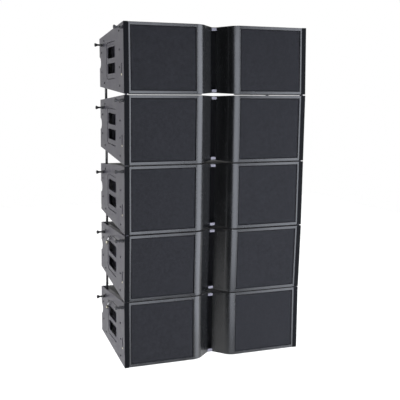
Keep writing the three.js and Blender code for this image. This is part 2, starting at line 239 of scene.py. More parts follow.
def tube(points, radius, sides=12, closed=False):
    """A round tube along points, its ends closed by flat caps."""
    path = [Vector(p) for p in points]
    count = len(path)
    bm = bmesh.new()
    rings = []
    normal = None
    for i, point in enumerate(path):
        before = path[i - 1] if closed else path[max(i - 1, 0)]
        after = path[(i + 1) % count] if closed else path[min(i + 1, count - 1)]
        along = (after - before).normalized()
        normal = along.orthogonal() if normal is None else normal - along * normal.dot(along)
        normal.normalize()
        across = along.cross(normal)
        ring = [point + (normal * u + across * v) for u, v in circle(0, 0, radius, sides)]
        rings.append([bm.verts.new(p) for p in ring])
    for i in range(count if closed else count - 1):
        a, b = rings[i], rings[(i + 1) % count]
        for j in range(sides):
            n = (j + 1) % sides
            bm.faces.new((a[j], a[n], b[n], b[j]))
    if not closed:
        bm.faces.new(rings[0])
        bm.faces.new(rings[-1])
    bmesh.ops.recalc_face_normals(bm, faces=bm.faces)
    return bm


def mirrored(parts):
    for bm in parts:
        bmesh.ops.scale(bm, verts=bm.verts, vec=(-1, 1, 1))
        bmesh.ops.reverse_faces(bm, faces=bm.faces)
    return parts


# ---- Pieces ----
def mesh_from(name, parts, look, scale=MM, smooth_angle=42):
    """One mesh in metres from several solids in millimetres, which are used up."""
    whole = bmesh.new()
    for part in parts:
        scrap = bpy.data.meshes.new("scrap")
        part.to_mesh(scrap)
        part.free()
        whole.from_mesh(scrap)
        bpy.data.meshes.remove(scrap)
    bmesh.ops.scale(whole, verts=whole.verts, vec=(scale, scale, scale))
    mesh = bpy.data.meshes.new(name)
    whole.to_mesh(mesh)
    whole.free()
    mesh.materials.append(look)
    mesh.polygons.foreach_set("use_smooth", [True] * len(mesh.polygons))
    mesh.set_sharp_from_angle(angle=math.radians(smooth_angle))
    return mesh


def show(mesh, name, place, body, stands_for=()):
    """Puts a mesh at a place as a piece that rides on a body."""
    piece = bpy.data.objects.new(name, mesh)
    bpy.context.scene.collection.objects.link(piece)
    piece.matrix_world = place
    even = piece.modifiers.new("even_normals", "WEIGHTED_NORMAL")
    even.keep_sharp = True
    if body:
        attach(piece, body)
    if stands_for:
        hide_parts(*stands_for)
    return piece


def on_cabinets(name, make, slot, numbers=CABINETS, stands_for=None, look=None):
    """The same piece on several cabinets, from one shared mesh."""
    mesh = mesh_from(name, make(), LOOKS[look or slot])
    for k in numbers:
        nodes = [f"{stands_for}_{k}"] if stands_for else ()
        piece = show(mesh, f"{name}_{k}", PLACE[k], f"cabinet_{k}", nodes)


def on_both_sides(name, make, slot, numbers=CABINETS, stands_for=None, look=None):
    """A piece of the right-hand side on several cabinets, and its mirror image on the left."""
    for word, side in SIDES:
        def parts():
            return mirrored(make()) if side < 0 else make()
        replaced = stands_for and f"{stands_for}_{word}"
        on_cabinets(f"{name}_{word}", parts, slot, numbers, replaced, look)


# ---- Materials ----
class Look:
    """A procedural material on one Principled shader, with the node helpers that its recipe needs."""

    def __init__(self, name, **sockets):
        self.material = bpy.data.materials.new(name)
        self.material.use_nodes = True
        self.tree = self.material.node_tree
        self.shader = self.tree.nodes["Principled BSDF"]
        for socket, value in sockets.items():
            self.shader.inputs[socket.replace("_", " ")].default_value = value
        self.here = self.add("TexCoord").outputs["Object"]
        chance = self.add("ObjectInfo").outputs["Random"]
        self.varied = self.add("VectorMath", operation="MULTIPLY_ADD")
        self.link(self.here, self.varied.inputs[0])
        self.varied.inputs[1].default_value = (1, 1, 1)
        self.link(chance, self.varied.inputs[2])
        self.varied = self.varied.outputs[0]

    def add(self, kind, **settings):
        node = self.tree.nodes.new("ShaderNode" + kind)
        for key, value in settings.items():
            setattr(node, key, value)
        return node

    def link(self, source, socket):
        self.tree.links.new(source, socket)

    def noise(self, size, detail=3, roughness=0.6, stretch=(1, 1, 1)):
        """Noise whose grains are about size metres, in the piece's own coordinates."""
        scaled = self.add("VectorMath", operation="MULTIPLY")
        self.link(self.varied, scaled.inputs[0])
        scaled.inputs[1].default_value = [1 / (size * s) for s in stretch]
        noise = self.add("TexNoise")
        self.link(scaled.outputs[0], noise.inputs["Vector"])
        noise.inputs["Scale"].default_value = 1
        noise.inputs["Detail"].default_value = detail
        noise.inputs["Roughness"].default_value = roughness
        return noise.outputs["Fac"]

    def span(self, value, low, high, to_low=0.0, to_high=1.0):
        node = self.add("MapRange")
        self.link(value, node.inputs["Value"])
        ends = {"From Min": low, "From Max": high, "To Min": to_low, "To Max": to_high}
        for socket, number in ends.items():
            node.inputs[socket].default_value = number
        return node.outputs["Result"]

    def math(self, operation, a, b=None, c=None):
        node = self.add("Math", operation=operation)
        for socket, value in zip(node.inputs, (a, b, c)):
            if isinstance(value, (int, float)):
                socket.default_value = value
            elif value is not None:
                self.link(value, socket)
        return node.outputs[0]

    def mix(self, factor, a, b):
        """A colour between a and b, each a grey, a colour or a socket."""
        node = self.add("Mix", data_type="RGBA")
        self.link(factor, node.inputs["Factor"])
        for socket, value in ((node.inputs[6], a), (node.inputs[7], b)):
            if isinstance(value, tuple):
                socket.default_value = (*value, 1)
            else:
                self.link(value, socket)
        return node.outputs[2]

    def edge_wear_and_highlight(self, reach, amount=1.0):
        """1 on the outer edges within reach metres of them, broken up by noise, and 0 elsewhere. The paints
        lighten the edges by it, partly as rubbed wear and partly as a painted highlight.
        """
        bevel = self.add("Bevel", samples=4)
        bevel.inputs["Radius"].default_value = reach
        flat = self.add("NewGeometry").outputs["Normal"]
        turned = self.add("VectorMath", operation="DOT_PRODUCT")
        self.link(bevel.outputs[0], turned.inputs[0])
        self.link(flat, turned.inputs[1])
        edge = self.span(turned.outputs["Value"], 0.995, 0.85)
        patches = self.span(self.noise(0.012, 4, 0.7), 0.42, 0.62, 0.1, amount)
        return self.math("MULTIPLY", edge, patches)

    def bump(self, height, distance, strength=1.0):
        node = self.add("Bump")
        node.inputs["Strength"].default_value = strength
        node.inputs["Distance"].default_value = distance
        self.link(height, node.inputs["Height"])
        self.link(node.outputs[0], self.shader.inputs["Normal"])

    def colour(self, socket):
        self.link(socket, self.shader.inputs["Base Color"])

    def roughness(self, socket):
        self.link(socket, self.shader.inputs["Roughness"])


def cabinet_paint():
    """Black structured paint: fine pimples, a little dust, and grey edges that are partly rubbed wear and
    partly a painted highlight.
    """
    look = Look("cabinet_paint", Roughness=0.7)
    grain = look.noise(0.0022, 4, 0.65)
    cloud = look.noise(0.18, 4, 0.6)
    body = look.mix(look.span(cloud, 0.35, 0.7), (0.020, 0.020, 0.022), (0.034, 0.033, 0.037))
    speckled = look.mix(look.span(grain, 0.55, 0.8), body, (0.07, 0.07, 0.076))
    # Grey on the edges: partly rubbed wear, partly a painted highlight.
    look.colour(look.mix(look.edge_wear_and_highlight(0.003, 0.7), speckled, (0.16, 0.155, 0.16)))
    look.roughness(look.span(cloud, 0.3, 0.7, 0.6, 0.78))
    look.bump(look.span(grain, 0.3, 0.75), 0.0005, 0.8)
    return look.material


def horn_gloss():
    """Glossy black moulding with a faint flow pattern and a few fine scuffs."""
    look = Look("horn_gloss", Roughness=0.25, Specular_IOR_Level=0.58)
    flow = look.noise(0.06, 2, 0.5, (1, 1, 3))
    scuffs = look.span(look.noise(0.004, 3, 0.7, (1, 1, 9)), 0.64, 0.74)
    look.colour(look.mix(scuffs, (0.0015, 0.0017, 0.002), (0.006, 0.0065, 0.0075)))
    shine = look.span(flow, 0.3, 0.7, 0.21, 0.29)
    look.roughness(look.math("MULTIPLY_ADD", scuffs, 0.18, shine))
    look.bump(look.noise(0.011, 2, 0.5), 0.00012, 0.5)
    return look.material


def steel_paint():
    """Satin grey paint on steel, slightly violet, with a fine grain, handling marks, and lighter edges that
    are partly rubbed wear and partly a painted highlight.
    """
    look = Look("side_frame_paint", Specular_IOR_Level=0.28)
    grain = look.noise(0.0016, 3, 0.6)
    cloud = look.noise(0.12, 4, 0.6)
    streaks = look.span(look.noise(0.006, 4, 0.7, (1, 1, 7)), 0.6, 0.8)
    body = look.mix(look.span(cloud, 0.3, 0.7), (0.040, 0.037, 0.050), (0.062, 0.058, 0.076))
    marked = look.mix(look.math("MULTIPLY", streaks, 0.5), body, (0.17, 0.16, 0.19))
    # Light edges: partly rubbed wear, partly a painted highlight.
    look.colour(look.mix(look.edge_wear_and_highlight(0.002, 0.9), marked, (0.3, 0.29, 0.31)))
    look.roughness(look.span(cloud, 0.3, 0.75, 0.36, 0.5))
    look.bump(grain, 0.00025, 0.5)
    return look.material


def flange_paint_with_painted_shade():
    """The side frames' folded front edge: painted shade makes it near black, darker than the same steel's
    grey on the side plates, and its arrises are lighter, partly rubbed wear and partly a painted highlight.
    """
    look = Look("flange_paint_with_painted_shade", Specular_IOR_Level=0.05)
    grain = look.noise(0.0018, 3, 0.6)
    # Painted shade: the same steel as the side plates, painted near black.
    body = look.mix(look.noise(0.08, 3), (0.0012, 0.0014, 0.002), (0.003, 0.0035, 0.0045))
    # Light arrises: partly rubbed wear, partly a painted highlight.
    look.colour(look.mix(look.edge_wear_and_highlight(0.0015, 0.8), body, (0.12, 0.12, 0.13)))
    look.roughness(look.span(grain, 0.3, 0.7, 0.38, 0.5))
    look.bump(grain, 0.0002, 0.4)
    return look.material


def grille_paint():
    """Charcoal powder coat on perforated steel, its holes in staggered rows with dark foam behind."""
    look = Look("grille_paint", Roughness=0.62, Specular_IOR_Level=0.16)
    pitch = 0.006
    row = pitch * math.sqrt(3)
    split = look.add("SeparateXYZ")
    look.link(look.here, split.inputs[0])

    def to_hole(shift):
        across = look.math("FRACT", look.math("MULTIPLY_ADD", split.outputs["X"], 1 / pitch, shift))
        up = look.math("FRACT", look.math("MULTIPLY_ADD", split.outputs["Z"], 1 / row, shift))
        u = look.math("MULTIPLY", look.math("SUBTRACT", across, 0.5), pitch)
        v = look.math("MULTIPLY", look.math("SUBTRACT", up, 0.5), row)
        return look.math("POWER", look.math("ADD", look.math("POWER", look.math("ABSOLUTE", u), 2),
                                            look.math("POWER", look.math("ABSOLUTE", v), 2)), 0.5)

    nearest = look.math("MINIMUM", to_hole(0.0), to_hole(0.5))
    open_part = look.span(nearest, 0.0023, 0.0019)
    cloud = look.noise(0.016, 5, 0.75)
    coat = look.mix(look.span(cloud, 0.3, 0.7), (0.006, 0.0065, 0.0085), (0.019, 0.0195, 0.024))
    look.colour(look.mix(open_part, coat, (0.006, 0.006, 0.007)))
    look.roughness(look.span(open_part, 0, 1, 0.55, 0.95))
    look.bump(look.span(nearest, 0.0018, 0.0025), 0.0006, 0.7)
    return look.material


def dark_metal(name, low, high, metallic, shine):
    look = Look(name, Metallic=metallic)
    grain = look.noise(0.003, 3, 0.6)
    # Light edges: partly rubbed wear, partly a painted highlight.
    look.colour(look.mix(look.edge_wear_and_highlight(0.0012, 0.8), look.mix(grain, low, high), (0.3, 0.3, 0.31)))
    look.roughness(look.span(grain, 0.3, 0.7, *shine))
    look.bump(grain, 0.0001, 0.4)
    return look.material


def bare_metal(name, low, high, shine):
    """Plated or cast metal with fine machining marks."""
    look = Look(name, Metallic=1.0)
    grain = look.noise(0.002, 4, 0.65, (1, 6, 1))
    look.colour(look.mix(grain, low, high))
    look.roughness(look.span(grain, 0.3, 0.7, *shine))
    look.bump(grain, 0.0001, 0.5)
    return look.material


def soft_plastic(name, low, high, shine, size=0.0015, depth=0.0002):
    look = Look(name)
    grain = look.noise(size, 3, 0.6)
    look.colour(look.mix(look.noise(0.05, 3), low, high))
    look.roughness(look.span(grain, 0.3, 0.7, *shine))
    look.bump(grain, depth, 0.7)
    return look.material


LOOKS = {
    "cabinet": cabinet_paint(),
    "horn": horn_gloss(),
    "grille": grille_paint(),
    "side_frame": steel_paint(),
    "pin": dark_metal("pin_steel", (0.004, 0.004, 0.005), (0.010, 0.010, 0.012), 0.0, (0.45, 0.6)),
    "rear_link": dark_metal("link_steel", (0.02, 0.02, 0.022), (0.035, 0.035, 0.04), 0.5, (0.38, 0.55)),
    "lanyard": soft_plastic("lanyard_cover", (0.003, 0.003, 0.0035), (0.007, 0.007, 0.008), (0.5, 0.65)),
    "driver_frame": dark_metal("driver_frame", (0.02, 0.02, 0.022), (0.03, 0.03, 0.034), 0.4, (0.45, 0.6)),
    "driver_cone": soft_plastic(
        "driver_cone", (0.012, 0.012, 0.012), (0.03, 0.03, 0.03), (0.7, 0.85), 0.003, 0.0006
    ),
    "rubber": soft_plastic("rubber", (0.012, 0.012, 0.012), (0.02, 0.02, 0.02), (0.6, 0.75)),
    "zinc": bare_metal("zinc", (0.6, 0.55, 0.42), (0.8, 0.76, 0.62), (0.25, 0.4)),
    "aluminium": bare_metal("aluminium", (0.5, 0.5, 0.52), (0.66, 0.66, 0.68), (0.3, 0.45)),
    "plastic": soft_plastic("black_plastic", (0.014, 0.014, 0.016), (0.024, 0.024, 0.027), (0.4, 0.55)),
    "clip_plastic": soft_plastic("clip_plastic", (0.13, 0.125, 0.15), (0.18, 0.172, 0.205), (0.45, 0.6)),
    # Painted light: the cups are greyer than the black plastic, so that their insides, seen through the
    # handle windows, look lit.
    "cup_plastic_with_painted_light": soft_plastic("cup_plastic_with_painted_light", (0.055, 0.053, 0.061), (0.09, 0.087, 0.099), (0.5, 0.65)),
    "flange_paint_with_painted_shade": flange_paint_with_painted_shade(),
    "wool": soft_plastic("wool", (0.25, 0.25, 0.24), (0.4, 0.4, 0.39), (0.9, 1.0), 0.004, 0.002),
}


# ---- Lanyards ----
LANYARD_ROUTE = [
    (-0.5046, 0.351, -0.091),
    (-0.5052, 0.341, -0.084),
    (-0.506, 0.328, -0.075),
    (-0.507, 0.312, -0.065),
    (-0.508, 0.294, -0.054),
    (-0.5092, 0.274, -0.044),
    (-0.5106, 0.252, -0.035),
    (-0.512, 0.228, -0.028),
    (-0.5136, 0.202, -0.023),
    (-0.5152, 0.174, -0.019),
    (-0.5168, 0.144, -0.016),
    (-0.5184, 0.114, -0.013),
    (-0.52, 0.084, -0.010),
    (-0.5214, 0.056, -0.007),
    (-0.5224, 0.030, -0.004),
    (-0.523, 0.0084, -0.0015),
]
LANYARD_DIAMETER = 0.004
LANYARD_SCREW = [(0, -500.2), (9, -500.2), (9, -502), (6.5, -502), (6.5, -507), (5, -509.5), (0, -509.5)]
EYE = (-505, 359.5, -97.5)  # centre of the eye round its screw


def smooth_route(points, steps=6):
    """A Catmull-Rom curve through the points."""
    points = [Vector(p) for p in points]
    padded = [2 * points[0] - points[1], *points, 2 * points[-1] - points[-2]]
    curve = []
    for a, b, c, d in zip(padded, padded[1:], padded[2:], padded[3:]):
        for i in range(steps):
            t = i / steps
            squared = (2 * a - 5 * b + 4 * c - d) * t**2
            cubed = (3 * b - a - 3 * c + d) * t**3
            curve.append(0.5 * (2 * b + (c - a) * t + squared + cubed))
    return curve + [points[-1]]


def ring(centre, radius, thickness, steps=36):
    """A round wire ring about the X axis."""
    points = [(centre[0], centre[1] + u, centre[2] + v) for u, v in circle(0, 0, radius, steps)]
    return tube(points, thickness, 12, closed=True)


def lanyard(number):
    place = PLACE[number]
    body, pin = f"cabinet_{number}", f"front_pin_left_{number}"
    path = [place @ p for p in smooth_route(LANYARD_ROUTE)]
    name = f"wire_lanyard_{number}"
    mesh = mesh_from(name, [tube(path, LANYARD_DIAMETER / 2, 12)], LOOKS["lanyard"], scale=1)
    wire = show(mesh, name, Matrix.Identity(4), None, [f"lanyard_{number}"])
    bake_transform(wire)

    def part(name, solids, slot, rides):
        return show(mesh_from(name, solids, LOOKS[slot]), f"{name}_{number}", place, rides)

    sleeve = [Vector(p) / MM for p in LANYARD_ROUTE[2:5]]
    on_wire = [
        part("lanyard_eye", [ring(EYE, 10.5, 2)], "lanyard", body),
        part("lanyard_ferrule", [tube(smooth_route(sleeve, 4), 3.7, 16)], "aluminium", body),
        part("lanyard_pin_ring", [ring((-523, 0, 0), 7.2, 1.7)], "lanyard", pin),
    ]
    part("lanyard_screw", [lathe(LANYARD_SCREW, (0, EYE[1], EYE[2]))], "zinc", body)


for number in LANYARD_CABINETS:
    lanyard(number)


# ---- Horn ----
HORN_HALF = 120.5
RECESS_DEPTH = 72
LOBE_RADIUS = 80
FLANK_TURN = 50
SLOT_HALF_WIDTH = 11
HORN_INSET = WOOD_INSIDE + FIT_GAP
SLOT_INSET = HORN_INSET + 4
HORN_WALL = 3.4
BAY_HALF = 465.5
MOULDING_HALF = 475.1


def horn_curve():
    """The moulding's face across the front, from the left edge to the right, as (x, y) points."""
    lobe_x = HORN_HALF + 0.5
    floor_y = FRONT + RECESS_DEPTH
    right = [(SLOT_HALF_WIDTH, floor_y)]
    right += arc(lobe_x, FRONT + LOBE_RADIUS, LOBE_RADIUS, -90 - FLANK_TURN, -90, 22)
    right += [(BAY_HALF, FRONT), (MOULDING_HALF, FRONT)]
    return [(-x, y) for x, y in reversed(right)] + right


def horn():
    """The front moulding: a surround for each grille, two rounded flanks and the tall slot."""
    bm = bmesh.new()
    columns = []
    for x, y in horn_curve():
        low, high = bottom_at(y), top_at(y)
        insets = (FRAME_PROUD, WOOD_INSIDE, SLOT_INSET)
        heights = [low + inset for inset in insets] + [high - inset for inset in reversed(insets)]
        columns.append([bm.verts.new((x, y, z)) for z in heights])
    for a, b in zip(columns, columns[1:]):
        middle = abs(a[0].co.x + b[0].co.x) / 2
        for row in range(5):
            in_slot = middle < SLOT_HALF_WIDTH and row == 2
            in_bay = HORN_HALF < middle < BAY_HALF and 1 <= row <= 3
            if not (in_slot or in_bay):
                bm.faces.new((a[row], b[row], b[row + 1], a[row + 1]))
    bmesh.ops.recalc_face_normals(bm, faces=bm.faces)
    front = min(bm.faces, key=lambda f: f.calc_center_median().y)
    if front.normal.y > 0:
        bmesh.ops.reverse_faces(bm, faces=bm.faces)
    bmesh.ops.solidify(bm, geom=bm.faces[:], thickness=HORN_WALL)
    bmesh.ops.recalc_face_normals(bm, faces=bm.faces)
    round_edges(bm, 1.3, 3, 50)
    low, high = bottom_at(FRONT) + HORN_INSET, top_at(FRONT) - HORN_INSET
    cheeks = [block((x - 1.6, FRONT + 2, low), (x + 1.6, BAFFLE_FRONT - FIT_GAP, high), 0.5)
              for x in (-HORN_HALF + 1.8, HORN_HALF - 1.8)]
    return [bm, *cheeks]


def slot_clips():
    """Light grey blocks on the moulding's top and bottom edges, in line with the slot."""
    y = FRONT + RECESS_DEPTH
    low, high = bottom_at(y) + FRAME_PROUD, top_at(y) - FRAME_PROUD
    parts = []
    for z in (low + 11, high - 11):
        parts.append(plate([rounded((-13.5, z - 6.5), (13.5, z + 6.5), 2)], y - 4.4, y - 0.2, "Y", 1))
    return parts


def loft(sections):
    """A closed body through rounded rectangles, each (y, half width, low, high, corner)."""
    bm = bmesh.new()
    rings = []
    for y, half, low, high, corner in sections:
        outline = rounded((-half, low), (half, high), corner, 5)
        rings.append([bm.verts.new((x, y, z)) for x, z in outline])
    for a, b in zip(rings, rings[1:]):
        for i in range(len(a)):
            j = (i + 1) % len(a)
            bm.faces.new((a[i], a[j], b[j], b[i]))
    bm.faces.new(rings[0])
    bm.faces.new(rings[-1])
    bmesh.ops.recalc_face_normals(bm, faces=bm.faces)
    return bm


DRIVER_SPREAD = 62


def wave_guide():
    """The cast guide that joins two round throats to the tall slot."""
    start = FRONT + RECESS_DEPTH + HORN_WALL + 0.6
    low, high = bottom_at(start) + SLOT_INSET - 6, top_at(start) - SLOT_INSET + 6
    body = loft([
        (start + 62.5, 18, low + 6, high - 6, 8),
        (start + 74, 34, low + 14, high - 14, 24),
        (start + 78, 40, low + 14, high - 14, 26),
        (start + 86, 40, low + 14, high - 14, 26),
    ])
    ribs = [block((side * 22 - 7.5, start + 4, z - 1.5), (side * 22 + 7.5, start + 64, z + 1.5), 0.8)
            for z in (MIDDLE - 60, MIDDLE, MIDDLE + 60) for side in (-1, 1)]
    half = SLOT_HALF_WIDTH + 3
    mouth = tub((-half, low + 2), (half, high - 2), 4, 2, start + 60, start, "Y")
    return [body, *ribs, *mouth]


def compression_drivers():
    y = FRONT + RECESS_DEPTH + HORN_WALL + 87.2
    profile = [(0, y), (34, y), (34, y + 5), (46, y + 7), (49, y + 10), (49, y + 34), (46, y + 38)]
    profile += [(37, y + 40), (37, y + 56), (33, y + 61), (0, y + 61)]
    return [lathe(profile, (0, 0, MIDDLE + side * DRIVER_SPREAD), "Y", 40) for side in (-1, 1)]


# ---- Grilles ----
GRILLE_INNER, GRILLE_OUTER = 123.5, 463.5
GRILLE_FACE = FRONT + 3
GRILLE_INSET = WOOD_INSIDE + 1.5


def grille():
    """A folded tray: a face and four turned sides, open at the back."""
    bm = bmesh.new()
    rings = []
    for y in (GRILLE_FACE, BAFFLE_FRONT - FIT_GAP):
        low, high = bottom_at(y) + GRILLE_INSET, top_at(y) - GRILLE_INSET
        corners = [(GRILLE_INNER, low), (GRILLE_OUTER, low), (GRILLE_OUTER, high), (GRILLE_INNER, high)]
        rings.append([bm.verts.new((x, y, z)) for x, z in corners])
    bm.faces.new(rings[0])
    for i in range(4):
        j = (i + 1) % 4
        bm.faces.new((rings[0][i], rings[0][j], rings[1][j], rings[1][i]))
    bmesh.ops.recalc_face_normals(bm, faces=bm.faces)
    face = min(bm.faces, key=lambda f: f.calc_center_median().y)
    if face.normal.y > 0:
        bmesh.ops.reverse_faces(bm, faces=bm.faces)
    folds = [e for e in bm.edges if e.is_manifold]
    bmesh.ops.bevel(bm, geom=folds, offset=3, segments=4, profile=0.5, affect="EDGES")
    bmesh.ops.solidify(bm, geom=bm.faces[:], thickness=1.6)
    bmesh.ops.recalc_face_normals(bm, faces=bm.faces)
    return [bm]


def grille_foam():
    y = (GRILLE_FACE + 3, GRILLE_FACE + 10)
    low, high = bottom_at(FRONT) + GRILLE_INSET + 3, top_at(FRONT) - GRILLE_INSET - 3
    outline = rounded((GRILLE_INNER + 3, low), (GRILLE_OUTER - 3, high), 4)
    return [plate([outline], *y, "Y", 1.5)]


# ---- Woofers ----
WOOFER_RADIUS = 152


def woofer_basket():
    rim = [(136, -3), (149, -3), (WOOFER_RADIUS, -0.5), (WOOFER_RADIUS, 1.6)]
    rim += [(137.5, 1.6), (137.5, 12), (134, 12), (134, 0)]
    seat = [(48, 76), (78, 76), (80, 80), (80, 84), (48, 84)]
    centre = (WOOFER_X, 0, MIDDLE)
    parts = [lathe(rim, centre, "Y", 64, closed=True), lathe(seat, centre, "Y", 48, closed=True)]
    for i in range(8):
        a = math.radians(45 * i + 22.5)
        across = [(134, 8), (128, 30), (96, 62), (76, 80)]
        points = [(WOOFER_X + r * math.cos(a), y, MIDDLE + r * math.sin(a)) for r, y in across]
        parts.append(tube(smooth_route(points, 4), 6, 10))
    return parts


def woofer_surround():
    turns = [math.pi * i / 10 for i in range(11)]
    roll = [(127 + 8 * math.cos(a), 2 - 7 * math.sin(a)) for a in turns]
    inner = [(127 + 6.6 * math.cos(a), 2 - 5.6 * math.sin(a)) for a in reversed(turns)]
    return [lathe(roll + inner, (WOOFER_X, 0, MIDDLE), "Y", 64, closed=True)]


def woofer_cone():
    steps = [i / 10 for i in range(11)]
    front = [(120 - 86 * t, 3 + 44 * t**0.85) for t in steps]
    back = [(r, y + 1.6) for r, y in reversed(front)]
    return [lathe(front + back, (WOOFER_X, 0, MIDDLE), "Y", 64, closed=True)]


def woofer_dust_cap():
    dome = [(38 * math.sin(a), 46 - 14 * math.cos(a)) for a in (math.radians(9 * i) for i in range(11))]
    under = [(r, y + 1.4) for r, y in reversed(dome)]
    return [lathe(dome + under, (WOOFER_X, 0, MIDDLE), "Y", 48)]


def woofer_magnet():
    profile = [(0, 86), (74, 86), (76, 88), (76, 92), (84, 93), (86, 95), (86, 112), (84, 114)]
    profile += [(76, 115), (76, 120), (73, 123), (14, 123), (11, 119), (0, 119)]
    return [lathe(profile, (WOOFER_X, 0, MIDDLE), "Y", 56)]


# ---- Screws ----
def screw(u, v, seat, axis="X", radius=5.5):
    """A pan head with a round socket, standing on a face at seat and facing outwards."""
    out = 1 if axis == "X" else -1
    profile = [(0, 1), (0.42, 1), (0.45, 2.4), (0.75, 2.5), (0.95, 1.8), (1, 1), (1, 0.1), (0, 0.1)]
    points = [(r * radius, seat + out * h) for r, h in profile]
    centre = (0, u, v) if axis == "X" else (u, 0, v)
    return lathe(points, centre, axis, 24)


# ---- Side frames ----
NOTCH_RADIUS = 30
HANDLE_FRAME = ((150, -245), (356, -52), 24)
WINDOWS = (((168, -138), (332, -76)), ((168, -218), (332, -160)))
HANDLE_GROOVE = 3
LIP_RADIUS = 1.9
WINDOW_CORNER = 14
FLANGE = 4
CHEEK = 3
FRONT_CHEEK_REAR = 50
REAR_CHEEK_FRONT = 396
MID_FLANGE = (60, 395)
FRONT_SLOT = (28, -230, -176, 6)
FRAME_SCREWS = [(69, -12), (69, -104), (69, -192), (69, -284)]
FRAME_SCREWS += [(408, -36), (408, -260), (470, -96), (470, -200)]


def frame_outline():
    notch = arc(REAR, MIDDLE, NOTCH_RADIUS, 270, 90, 18)
    front = FRONT + FLANGE
    below = [(front, bottom_at(front)), (REAR, bottom_at(REAR))]
    return [*below, *notch, (REAR, top_at(REAR)), (front, top_at(front))]


def band(low, high, front, rear):
    """The frame's outline between two depths, but only from one height to another."""
    return [(front, max(low, bottom_at(front))), (rear, max(low, bottom_at(rear))),
            (rear, min(high, top_at(rear))), (front, min(high, top_at(front)))]


def side_plate():
    """The outer plate with its openings, the handle's sunk surround and rim, and the flanges and cheeks
    welded to it.
    """
    handle_low, handle_high, corner = HANDLE_FRAME
    outline = [frame_outline(), rounded(handle_low, handle_high, corner), stadium(*FRONT_SLOT)]
    outline += [circle(0, 0, PIN_HOLE_RADIUS), circle(*REAR_PIN, PIN_HOLE_RADIUS)]
    parts = [plate(outline, OUTER_PLATE, HALF_WIDTH, "X", 0.9)]
    (y0, z0), (y1, z1) = handle_low, handle_high
    gap = HANDLE_GROOVE
    surround = [rounded((y0 + gap, z0 + gap), (y1 - gap, z1 - gap), corner - gap)]
    surround += [rounded(*window, WINDOW_CORNER) for window in WINDOWS]
    parts.append(plate(surround, OUTER_PLATE - 0.5, HALF_WIDTH - 1.4, "X", 1.2, 3))
    rim = rounded((y0 - 5, z0 - 5), (y1 + 5, z1 + 5), corner + 5)
    parts.append(plate([rim, rounded(handle_low, handle_high, corner)], 491, OUTER_PLATE + 0.3, "X"))
    folded = (CHEEK_INSIDE, OUTER_PLATE)
    cheek = (CHEEK_INSIDE, CHEEK_INSIDE + CHEEK)
    for low, high in ((BOTTOM, MIDDLE - NOTCH_RADIUS - 1), (MIDDLE + NOTCH_RADIUS + 1, TOP)):
        parts.append(plate([band(low, high, REAR - FLANGE, REAR)], *folded, "X", 0.9))
        parts.append(plate([band(low, high, REAR_CHEEK_FRONT, REAR - FLANGE)], *cheek, "X", 0.5))
    front_cheek = [tapered(0, FRONT + FLANGE, FRONT_CHEEK_REAR), circle(0, 0, PIN_HOLE_RADIUS)]
    parts.append(plate(front_cheek, *cheek, "X", 0.5))
    front, rear = MID_FLANGE
    for upward in (True, False):
        def edge(y, inset):
            return top_at(y) - inset if upward else bottom_at(y) + inset
        flange = [(front, edge(front, FLANGE)), (rear, edge(rear, FLANGE))]
        flange += [(rear, edge(rear, 0)), (front, edge(front, 0))]
        parts.append(plate([flange], *folded, "X", 0.9))
    return parts


def front_flange():
    """The folded front edge, full height, between the moulding and the outer face."""
    return [plate([tapered(0, FRONT, FRONT + FLANGE - 0.1)], CHEEK_INSIDE, HALF_WIDTH, "X", 1.1, 3)]


def window_rims():
    """A rolled lip round each handle window."""
    parts = []
    for low, high in WINDOWS:
        points = [(HALF_WIDTH - LIP_RADIUS, y, z) for y, z in rounded(low, high, WINDOW_CORNER, 8)]
        parts.append(tube(points, LIP_RADIUS, 10, closed=True))
    return parts


def grip():
    return [plate([rounded((160, -159), (340, -139), 8)], 484, 497, "X", 3.5, 4)]


TAB_LENGTH = 120
TAB_HALF_WIDTH = 13


def hinge_tab():
    """The tab that reaches down into the next side frame, with the block that it is welded to."""
    top = TAB_LENGTH - PITCH
    tab = [stadium(0, -PITCH, top, TAB_HALF_WIDTH), circle(0, -PITCH, PIN_HOLE_RADIUS)]
    welded = [(-10, top - 55), (10, top - 55), (10, top - 5), (-10, top - 5)]
    return [
        plate(tab, *LINK_LAYER, "X", 0.8),
        plate([welded], CHEEK_INSIDE + CHEEK, OUTER_PLATE, "X", 0.8),
    ]


def pivot_bolt():
    y, z = LINK_PIVOT
    profile = [(0, CHEEK_INSIDE), (5.9, CHEEK_INSIDE), (5.9, 499.6), (5, 500.2)]
    profile += [(3, 500.2), (2.8, 499), (0, 499)]
    return [lathe(profile, (0, y, z), "X", 32)]


def frame_screws():
    return [screw(y, z, HALF_WIDTH) for y, z in FRAME_SCREWS]


def slot_screw():
    return [screw(FRONT_SLOT[0], FRONT_SLOT[1] + 1, HALF_WIDTH - 1.5, "X", 5)]


# ---- Pins and links ----
SHANK = [(0, 477.5), (4.6, 477.5), (6, 479.5), (6, 500.4)]
SPOOL = [(8, 500.4), (8.5, 501), (8.5, 512.2), (7.8, 513), (5.6, 515), (5, 517.5), (5, 528), (5.8, 532)]
SPOOL += [(8.6, 536.8), (9.5, 538.4), (9.5, 543.6), (8.4, 544.8), (4.2, 544.8), (4, 543.2), (3.1, 543.2)]
SPOOL += [(3.1, 545), (0, 545)]
BUTTON = [(9, 500.4), (9.5, 500.9), (9.5, 503.8), (8.8, 505.4), (7, 506.7), (3.4, 507), (3.2, 505), (0, 505)]


def pin(y, z, head):
    """A quick-release pin with a spool or button head, and two locking balls near its tip."""
    body = lathe(SHANK + head, (0, y, z), "X", 32)
    balls = []
    for side in (-1, 1):
        ball = bmesh.new()
        bmesh.ops.create_uvsphere(ball, u_segments=12, v_segments=8, radius=2)
        bmesh.ops.translate(ball, verts=ball.verts, vec=(481.6, y, z + side * 4.8))
        balls.append(ball)
    return [body, *balls]


